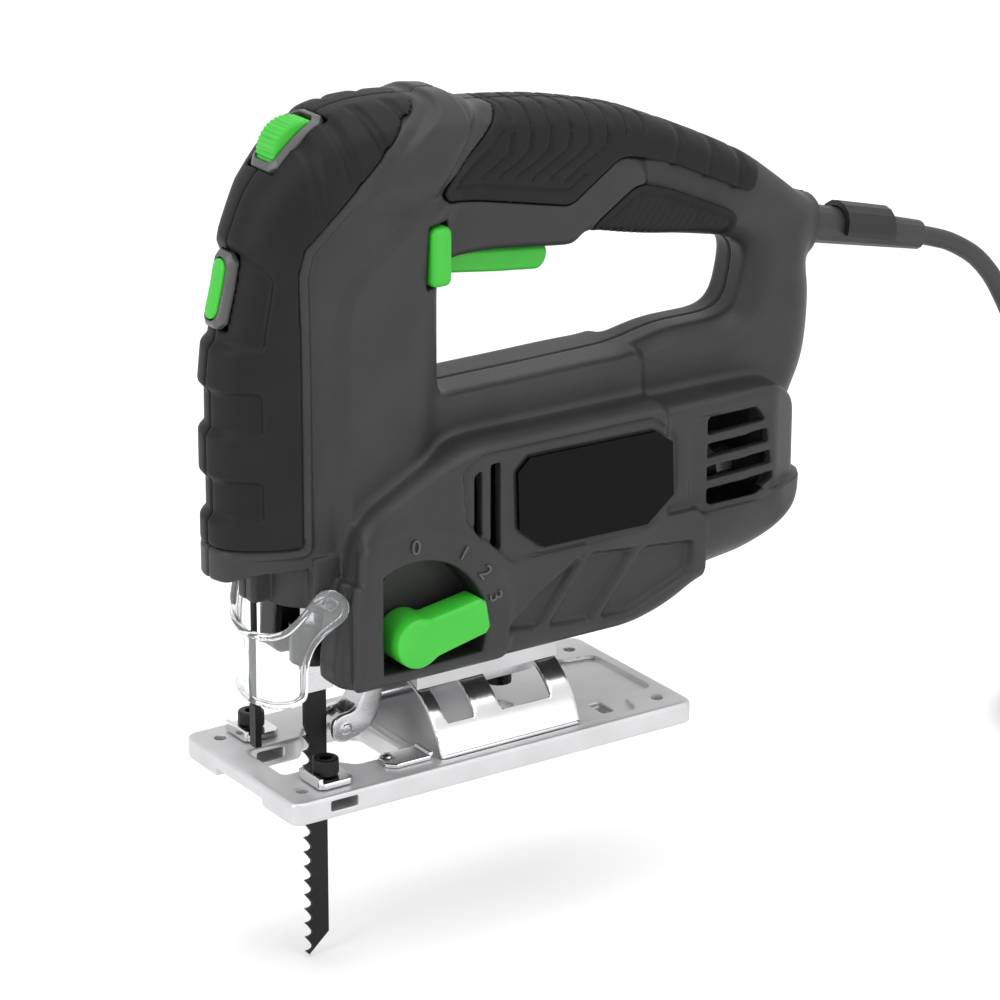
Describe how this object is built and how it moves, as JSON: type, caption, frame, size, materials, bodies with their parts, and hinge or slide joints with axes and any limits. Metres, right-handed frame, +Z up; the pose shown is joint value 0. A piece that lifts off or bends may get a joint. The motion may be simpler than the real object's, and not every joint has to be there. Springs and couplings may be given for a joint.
{
  "type": "jigsaw",
  "caption": "Corded D-handle jigsaw: two-shell housing with rubber boot and grip, pendulum drive, blade, clear guard and a tilting cast base plate.",
  "frame": {"origin": "middle of the sole of the base plate", "axes": "+X to the side with the selector knob, +Y back towards the cord, +Z up along the blade's stroke"},
  "size_m": [0.0912, 0.4055, 0.2593],
  "materials": {
    "body_grey": "fine moulded texture",
    "grip_rubber": "matt",
    "gloss_black": "mirror gloss",
    "bezel_grey": "satin",
    "green": "satin",
    "board_green": "matt",
    "steel": "ground",
    "bright_steel": "bright plated",
    "black_steel": "black oxide",
    "core_steel": "laminated",
    "copper": "bare",
    "cast_alloy": "as cast",
    "black_plastic": "matt",
    "clear_plastic": "clear moulded",
    "lamp": "clear lens",
    "cord_rubber": "matt"
  },
  "bodies": {
    "housing": {"housing_left": "body_grey", "housing_right": "body_grey", "front_boot_left": "grip_rubber", "front_boot_right": "grip_rubber", "handle_grip_left": "grip_rubber", "handle_grip_right": "grip_rubber", "grip_insert_left": "grip_rubber", "grip_insert_right": "grip_rubber", "name_plate_left": "gloss_black", "name_plate_right": "gloss_black", "dial_bezel": "bezel_grey", "speed_board": "board_green", "button_bezel": "bezel_grey", "stator": "core_steel", "front_bearing": "steel", "rear_bearing": "steel", "brush_holder_left": "copper", "brush_holder_right": "copper", "gearbox_casting": "cast_alloy", "plunger_bush_upper": "copper", "plunger_bush_lower": "copper", "guard_wire": "black_steel", "work_light": "lamp", "bevel_seat": "cast_alloy", "bevel_clamp_shoe": "steel", "switch_body": "black_plastic", "cord_clamp": "black_plastic", "cord_sleeve": "cord_rubber", "sleeve_clip": "black_plastic", "mains_cord": "cord_rubber", "cord_coil": "cord_rubber", "coil_tie": "black_plastic", "mains_plug": "black_plastic"},
    "plunger": {"plunger_rod": "steel", "plunger_yoke": "steel", "blade_holder": "steel", "saw_blade": "black_steel"},
    "clamp_ring": {"blade_clamp": "black_steel"},
    "fork": {"roller_fork": "steel"},
    "roller": {"guide_roller": "steel"},
    "selector": {"selector_knob": "green", "selector_shaft": "steel"},
    "trigger": {"trigger": "green"},
    "lock_button": {"lock_button": "green"},
    "speed_dial": {"speed_dial": "green"},
    "light_button": {"light_button": "green"},
    "guard": {"clear_guard": "clear_plastic"},
    "base": {"base_plate": "cast_alloy", "bevel_bracket": "bright_steel", "guide_clamp_left": "bright_steel", "guide_clamp_right": "bright_steel"},
    "guide_screw_left": {"guide_screw_left": "black_steel"},
    "guide_screw_right": {"guide_screw_right": "black_steel"},
    "tilt_screw": {"bevel_lock_screw": "black_steel"},
    "armature": {"armature": "core_steel", "commutator": "copper", "cooling_fan": "black_plastic", "pinion": "steel"},
    "drive_gear": {"drive_gear": "steel"}
  },
  "joints": [
    {"name": "plunger_stroke", "type": "slide", "parent": "housing", "child": "plunger", "axis": [0, 0, 1], "range_m": [0, 0.018]},
    {"name": "clamp_turn", "type": "hinge", "parent": "plunger", "child": "clamp_ring", "pos_m": [0, -0.044, 0.042], "axis": [0, 0, 1], "range_deg": [0, 30], "stiffness_Nm_per_rad": 0.06, "springref_deg": -11.46},
    {"name": "fork_swing", "type": "hinge", "parent": "housing", "child": "fork", "pos_m": [0, -0.0264, 0.038], "axis": [1, 0, 0], "range_deg": [0, 3]},
    {"name": "roller_spin", "type": "hinge", "parent": "fork", "child": "roller", "pos_m": [0, -0.0362, 0.0134], "axis": [1, 0, 0], "continuous": true},
    {"name": "selector_turn", "type": "hinge", "parent": "housing", "child": "selector", "pos_m": [0, -0.0275, 0.047], "axis": [1, 0, 0], "range_deg": [0, 76]},
    {"name": "trigger_press", "type": "hinge", "parent": "housing", "child": "trigger", "pos_m": [0, -0.005, 0.156], "axis": [1, 0, 0], "range_deg": [0, 6], "stiffness_Nm_per_rad": 1.2, "springref_deg": -4.58},
    {"name": "lock_press", "type": "slide", "parent": "housing", "child": "lock_button", "axis": [-1, 0, 0], "range_m": [0, 0.004], "stiffness_N_per_m": 600, "springref_m": -0.001},
    {"name": "dial_turn", "type": "hinge", "parent": "housing", "child": "speed_dial", "pos_m": [0, -0.0488, 0.1881], "axis": [1, 0, 0], "range_deg": [-135, 135]},
    {"name": "light_press", "type": "slide", "parent": "housing", "child": "light_button", "axis": [0, 0.9725, -0.2329], "range_m": [0, 0.0015], "stiffness_N_per_m": 700, "springref_m": -0.0008},
    {"name": "guard_flip", "type": "hinge", "parent": "housing", "child": "guard", "pos_m": [0, -0.0515, 0.0615], "axis": [-1, 0, 0], "range_deg": [0, 55]},
    {"name": "base_tilt", "type": "hinge", "parent": "housing", "child": "base", "pos_m": [0, 0, 0], "axis": [0, 1, 0], "range_deg": [-45, 45]},
    {"name": "guide_screw_left_turn", "type": "hinge", "parent": "base", "child": "guide_screw_left", "pos_m": [0.0207, -0.0532, 0.01], "axis": [0, 0, 1], "range_deg": [0, 180]},
    {"name": "guide_screw_right_turn", "type": "hinge", "parent": "base", "child": "guide_screw_right", "pos_m": [-0.0207, -0.0532, 0.01], "axis": [0, 0, 1], "range_deg": [0, 180]},
    {"name": "tilt_screw_turn", "type": "hinge", "parent": "housing", "child": "tilt_screw", "pos_m": [0, 0.0202, 0.016], "axis": [0, 0, 1], "range_deg": [0, 270]},
    {"name": "armature_spin", "type": "hinge", "parent": "housing", "child": "armature", "pos_m": [0, 0, 0.068], "axis": [0, 1, 0], "continuous": true},
    {"name": "gear_spin", "type": "hinge", "parent": "housing", "child": "drive_gear", "pos_m": [0, 0, 0.0877], "axis": [0, 1, 0], "continuous": true}
  ],
  "couplings": [
    {"joint": "gear_spin", "follows": "armature_spin", "ratio": -0.25806}
  ]
}
